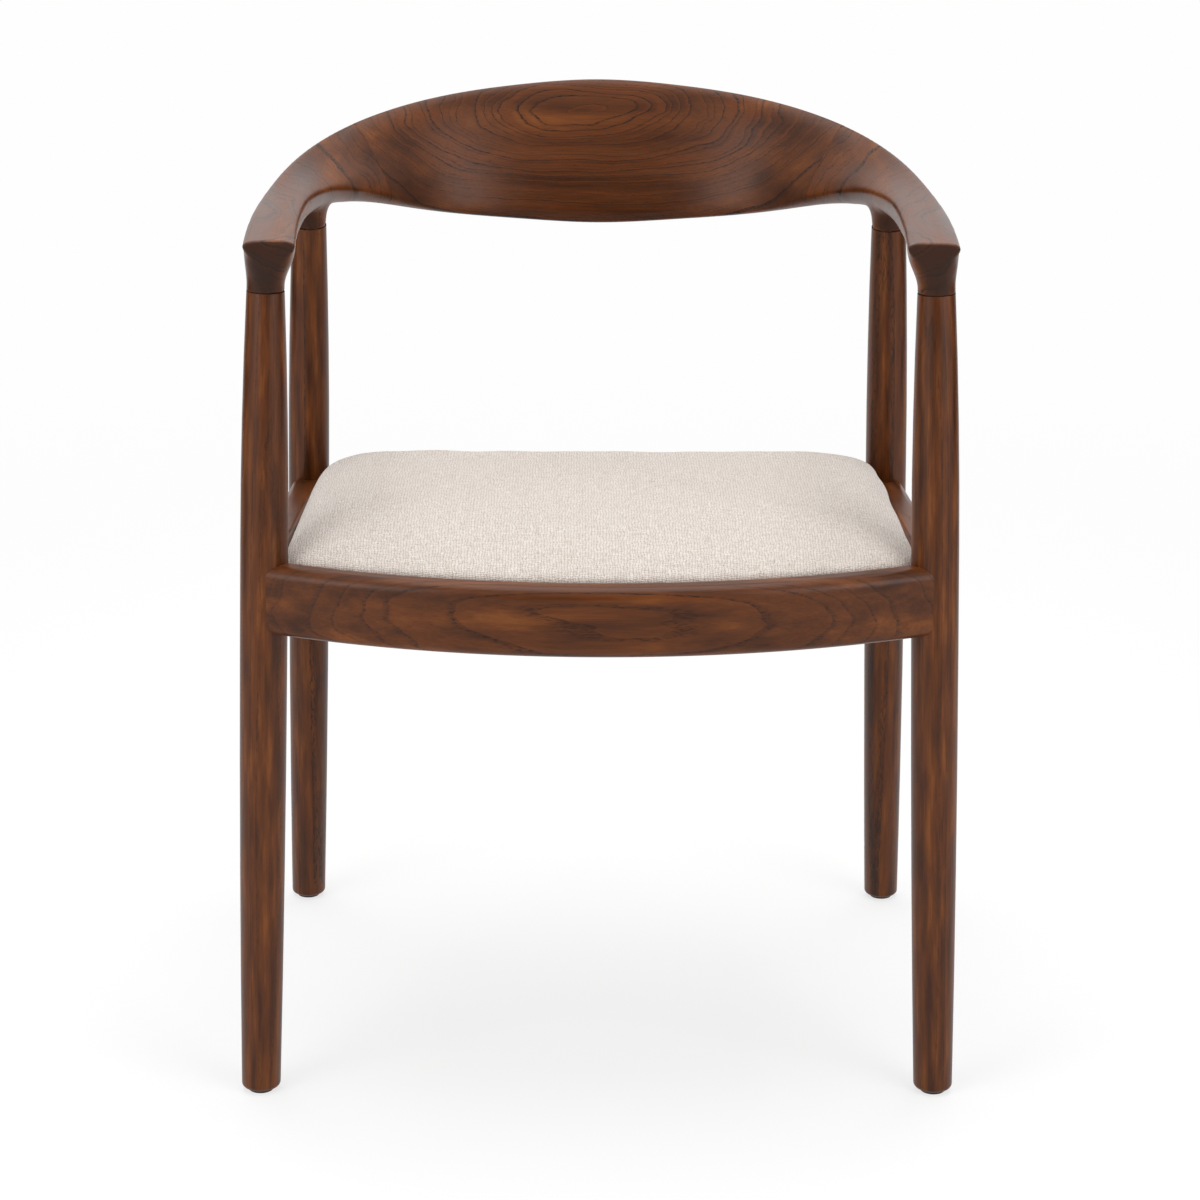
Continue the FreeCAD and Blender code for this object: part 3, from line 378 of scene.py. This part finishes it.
def sawn_at_joint(arm, sign):
    """Cuts an arm off square at its joint, with a flat end."""
    mirror = Matrix.Diagonal((sign, 1, 1))
    rail = bmesh.new()
    rail.from_mesh(arm.data)
    everything = rail.verts[:] + rail.edges[:] + rail.faces[:]
    cut = bmesh.ops.bisect_plane(rail, geom=everything, clear_outer=True,
                                 plane_co=mirror @ RAIL_JOINT, plane_no=mirror @ RAIL_RUN)
    rim = [edge for edge in cut["geom_cut"] if isinstance(edge, bmesh.types.BMEdge)]
    bmesh.ops.triangle_fill(rail, edges=rim, use_beauty=True)
    rail.to_mesh(arm.data)
    rail.free()


def carved_arm(side, sign):
    """An arm whose necks are rasped to flow into the rail: its CAD form, eased where the solids meet."""
    arm = even_mesh(f"carved_arm_{side}", [f"arm_{side}", "backrest"], 1.5 * MM)
    low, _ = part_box(f"arm_{side}")
    soft = arm.vertex_groups.new(name="rasped")
    for point in arm.data.vertices:
        below_arris = fade(TIP_TOP - ARRIS - point.co.z, 0.0, 8 * MM)
        near_tip = fade(low.y + TIP_NECK - point.co.y, 0.0, 12 * MM)
        near_leg = fade(LEG_NECK - abs(point.co.y - BACK_LEG_TOP_Y), 0.0, 12 * MM)
        above_joint = fade(point.co.z, low.z + 3 * MM, low.z + 10 * MM)
        soft.add([point.index], below_arris * above_joint * max(near_tip, near_leg), "REPLACE")
    rasp = arm.modifiers.new("rasp", "SMOOTH")
    rasp.factor = 0.5
    rasp.iterations = 80
    rasp.vertex_group = soft.name
    sand = arm.modifiers.new("sand", "SMOOTH")
    sand.factor = 0.5
    sand.iterations = 1
    for step in (rasp, sand):
        bpy.ops.object.modifier_apply(modifier=step.name)
    sawn_at_joint(arm, sign)
    arm.data.materials.append(stained_ash(
        f"carved_stained_ash_arm_{side}", (0.29 * sign, -0.12, 0.655), (0.06 * sign, 1, 0),
        ring=5, stretch=2.5, sway=14, reach=40, figure=0.75, streak=30))
    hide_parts(f"arm_{side}")
    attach(arm, "root")


for side, sign in (("left", 1), ("right", -1)):
    carved_arm(side, sign)


# Drop-in seat. The cover is tacked under the pan and held by the rails, which slope down to the back.
RAIL_TOP_FRONT = Vector((0, -0.202, 0.456))
RAIL_FALL = 0.053

# How far the stuffing fills the cover out above the rails, and presses it out between them.
SIDE_FULLNESS, FRONT_FULLNESS, BACK_FULLNESS, TOP_FULLNESS = 7 * MM, 1 * MM, 4 * MM, 11 * MM
SIDE_PRESS, END_PRESS = 2 * MM, 1.4 * MM

# The rails' inner faces, a hair inside: the sides splay towards the front, and the front is an arc.
SIDE_FACE, SIDE_SPLAY, SEAT_BACK = 0.2452, 0.017, 0.134
BACK_FACE, FRONT_CENTRE, FRONT_REACH = 0.1203, 0.3366, 0.5893
SQUEEZE = 3.5 * MM

# The cover starts a little slack in the simulation, and swells no further than the cap.
SLACK, SWELL_CAP = 1.5 * MM, 4 * MM
SWELL_FRAMES = 20


def above_rails(place, low, high):
    """How free of the rails a point of the seat is: nought at low over their tops, one at high."""
    rail_top = RAIL_TOP_FRONT.z - RAIL_FALL * (place.y - RAIL_TOP_FRONT.y)
    return fade(place.z - rail_top, low, high)


def plumped(seat):
    """Stuffs the seat: pressed out to the splayed rails, and fuller above them."""
    for point in seat.data.vertices:
        out = point.normal
        share = above_rails(point.co, 0.0, 12 * MM)
        forward = BACK_FULLNESS if out.y > 0 else FRONT_FULLNESS
        full = Vector((out.x * SIDE_FULLNESS, out.y * forward, max(out.z, 0.0) * TOP_FULLNESS))
        splay = SIDE_SPLAY * (SEAT_BACK - point.co.y)
        pressed = Vector((out.x * (SIDE_PRESS + splay), out.y * END_PRESS, 0.0))
        point.co += full * share + pressed


def blown_tight(seat):
    """Fills the cover by cloth simulation: it swells above the rails and stays as it is below them."""
    rest = [point.co.copy() for point in seat.data.vertices]
    held = seat.vertex_groups.new(name="held_by_rails")
    for point in seat.data.vertices:
        freedom = above_rails(point.co, -2 * MM, 8 * MM)
        held.add([point.index], 1 - freedom, "REPLACE")
        point.co -= point.normal * (SLACK * freedom)
    cover = seat.modifiers.new("cover", "CLOTH")
    cover.settings.quality = 5
    cover.settings.mass = 0.3
    cover.settings.tension_stiffness = 20
    cover.settings.compression_stiffness = 20
    cover.settings.bending_stiffness = 5.0
    cover.settings.tension_damping = 25
    cover.settings.compression_damping = 25
    cover.settings.air_damping = 8
    cover.settings.use_pressure = True
    cover.settings.uniform_pressure_force = 4
    cover.settings.vertex_group_mass = held.name
    cover.settings.effector_weights.gravity = 0
    cover.collision_settings.use_collision = False
    for step in range(1, SWELL_FRAMES + 1):
        bpy.context.scene.frame_set(step)
    blown = seat.evaluated_get(bpy.context.evaluated_depsgraph_get())
    places = [point.co.copy() for point in blown.data.vertices]
    seat.modifiers.remove(cover)
    bpy.context.scene.frame_set(1)
    for point, start, place in zip(seat.data.vertices, rest, places):
        move = place - start
        point.co = start + move * min(1.0, SWELL_CAP / max(move.length, 1e-9))


def settled(seat, turns):
    """Evens out small lumps above the rails."""
    free = seat.vertex_groups.new(name="free")
    for point in seat.data.vertices:
        free.add([point.index], above_rails(point.co, 2 * MM, 14 * MM), "REPLACE")
    settle = seat.modifiers.new("settle", "SMOOTH")
    settle.factor = 0.5
    settle.iterations = turns
    settle.vertex_group = free.name
    bpy.ops.object.modifier_apply(modifier=settle.name)
    seat.vertex_groups.clear()


def snug(seat):
    """Squeezes the cover against the rails' inner faces, so that no light comes through beside it."""
    for point in seat.data.vertices:
        out, place = point.normal.copy(), point.co.copy()
        near = 1 - above_rails(place, 1 * MM, 9 * MM)
        side_gap = SIDE_FACE + SIDE_SPLAY * (SEAT_BACK - place.y) - abs(place.x)
        spoke = Vector((place.x, place.y - FRONT_CENTRE, 0.0))
        aside = math.copysign(min(side_gap, SQUEEZE), place.x) * fade(abs(out.x), 0.4, 0.8)
        ahead = min(FRONT_REACH - spoke.length, SQUEEZE) * fade(-out.y, 0.4, 0.8)
        behind = min(BACK_FACE - place.y, SQUEEZE) * fade(out.y, 0.4, 0.8)
        point.co += near * (Vector((aside, behind, 0.0)) + spoke.normalized() * ahead)


def drop_in_seat():
    """The upholstered seat: cover, foam and pan as one closed form, its cover pulled tight over the foam."""
    seat = even_mesh("drop_in_seat", ["seat_cover", "seat_foam", "seat_pan"], 5 * MM)
    settled(seat, 6)
    plumped(seat)
    settled(seat, 10)
    blown_tight(seat)
    settled(seat, 45)
    snug(seat)
    finer = seat.modifiers.new("finer", "SUBSURF")
    finer.levels = 1
    finer.render_levels = 1
    seat.data.materials.append(woven_linen())
    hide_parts("seat_cover", "seat_foam")
    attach(seat, "root")


drop_in_seat()


# Studio: white paper under a white sweep, soft lamps above and at both sides, dark flags for the edges.
def seen_white(tree):
    """One where the camera sees the studio's white, straight or in a reflection, and nought for its light."""
    rays = add(tree, "LightPath").outputs
    mirrored = add(tree, "Math", {0: rays["Is Glossy Ray"], 1: rays["Is Transmission Ray"]},
                   operation="MAXIMUM")
    seen = add(tree, "Math", {0: rays["Is Camera Ray"], 1: mirrored.outputs[0]}, operation="MAXIMUM")
    return seen.outputs[0]


def floor_paper():
    """Seamless background paper, matt white: it takes the chair's shadow, and reads white where unshaded.

    The camera sees most of its white as even light, all of it further off, so the shadow stays as pale as
    on a lit white sweep.
    """
    finish, tree, surface = new_finish("seamless_paper")
    place = add(tree, "TexCoord").outputs["Object"]
    grain = add(tree, "TexNoise", {"Vector": place, "Scale": 40.0})
    tone = add(tree, "ValToRGB", {"Fac": grain.outputs["Fac"]}, stops=[(0.0, "#f4f4f4"), (1.0, "#f8f8f8")])
    away = add(tree, "VectorMath", {0: place}, operation="LENGTH")
    seen = seen_white(tree)
    far = add(tree, "MapRange", {"Value": away.outputs["Value"], "From Min": 0.7, "From Max": 2.6},
              interpolation_type="SMOOTHSTEP")
    shade = add(tree, "ValToRGB", {"Fac": far.outputs[0]}, stops=[(0.0, "#9c9c9c"), (1.0, "#000000")])
    white = add(tree, "MapRange", {"Value": far.outputs[0], "To Min": 0.7, "To Max": 0.99})
    shaded = add(tree, "Mix", {0: seen, 6: tone.outputs[0], 7: shade.outputs[0]}, data_type="RGBA")
    lift = add(tree, "Math", {0: seen, 1: white.outputs[0]}, operation="MULTIPLY")
    tree.links.new(shaded.outputs[2], surface.inputs["Base Color"])
    tree.links.new(lift.outputs[0], surface.inputs["Emission Strength"])
    surface.inputs["Emission Color"].default_value = colour("#ffffff")
    surface.inputs["Roughness"].default_value = 0.9
    surface.inputs["Specular IOR Level"].default_value = 0.0
    return finish


def flat_card(name, width, height, matrix, finish):
    """A flat sheet of studio card, lying in its own XY plane and placed by matrix."""
    sheet = bmesh.new()
    bmesh.ops.create_grid(sheet, x_segments=1, y_segments=1, size=0.5,
                          matrix=Matrix.Diagonal((width, height, 1, 1)))
    mesh = bpy.data.meshes.new(name)
    sheet.to_mesh(mesh)
    sheet.free()
    card = bpy.data.objects.new(name, mesh)
    card.matrix_world = matrix
    card.data.materials.append(finish)
    bpy.context.scene.collection.objects.link(card)
    return card


flat_card("floor", 30, 30, Matrix.Identity(4), floor_paper())


def black_felt():
    """Felted wool, dyed black: it takes light out of the reflections, and darkens the chair's edges."""
    finish, tree, surface = new_finish("black_felt")
    nap = add(tree, "TexNoise", {"Vector": add(tree, "TexCoord").outputs["Object"], "Scale": 1 / (4 * MM)})
    tone = add(tree, "ValToRGB", {"Fac": nap.outputs["Fac"]}, stops=[(0.3, "#202020"), (0.7, "#303030")])
    tree.links.new(tone.outputs[0], surface.inputs["Base Color"])
    surface.inputs["Roughness"].default_value = 0.95
    return finish


felt = black_felt()
upright = Matrix.Rotation(math.radians(90), 4, "X")
sideways = Matrix.Rotation(math.radians(90), 4, "Z") @ upright
flag_places = {
    "flag_behind_camera": (2.6, 2.2, Matrix.Translation((0, -3.4, 1.1)) @ upright),
    "flag_left": (1.3, 1.6, Matrix.Translation((1.7, 0.5, 0.8)) @ sideways),
    "flag_right": (1.3, 1.6, Matrix.Translation((-1.7, 0.5, 0.8)) @ sideways),
}
for name, (width, height, matrix) in flag_places.items():
    flag_card = flat_card(name, width, height, matrix, felt)
    flag_card.visible_camera = False

scene = bpy.context.scene
scene.view_settings.view_transform = "Standard"
world = bpy.data.worlds.new("white_sweep")
scene.world = world
world.use_nodes = True
sky = world.node_tree
sky.nodes.clear()
level = add(sky, "MapRange", {"Value": seen_white(sky), "To Min": 0.56, "To Max": 1.0})
air = add(sky, "Background", {"Color": colour("#ffffff"), "Strength": level.outputs[0]})
add(sky, "OutputWorld", {"Surface": air.outputs[0]})


def softbox(name, place, aim, width, height, power):
    """A rectangular soft lamp at place, turned towards aim."""
    lamp = bpy.data.lights.new(name, "AREA")
    lamp.shape = "RECTANGLE"
    lamp.size = width
    lamp.size_y = height
    lamp.energy = power
    holder = bpy.data.objects.new(name, lamp)
    holder.location = place
    holder.rotation_euler = (Vector(aim) - Vector(place)).to_track_quat("-Z", "Y").to_euler()
    bpy.context.scene.collection.objects.link(holder)


softbox("overhead_softbox", (0, 0.2, 2.6), (0, 0.05, 0.4), 2.2, 2.2, 34)
softbox("left_softbox", (1.75, -1.75, 1.25), (0, 0, 0.55), 1.3, 1.6, 19)
softbox("right_softbox", (-1.75, -1.75, 1.25), (0, 0, 0.55), 1.3, 1.6, 19)


# Camera: a 90 mm lens on 36 mm film, some 2.5 m in front of the chair's middle, looking down on it.
camera = bpy.data.objects.new("camera", bpy.data.cameras.new("camera"))
camera.data.sensor_width = 36
camera.data.lens = 89.86
camera.location = (-0.017, -2.4674, 1.1133)
down, aside, roll = math.radians(90 - 16.908), -0.0076, math.radians(0.3)
camera.rotation_euler = (Euler((down, 0, aside)).to_matrix() @ Euler((0, 0, roll)).to_matrix()).to_euler()
scene.collection.objects.link(camera)
scene.camera = camera
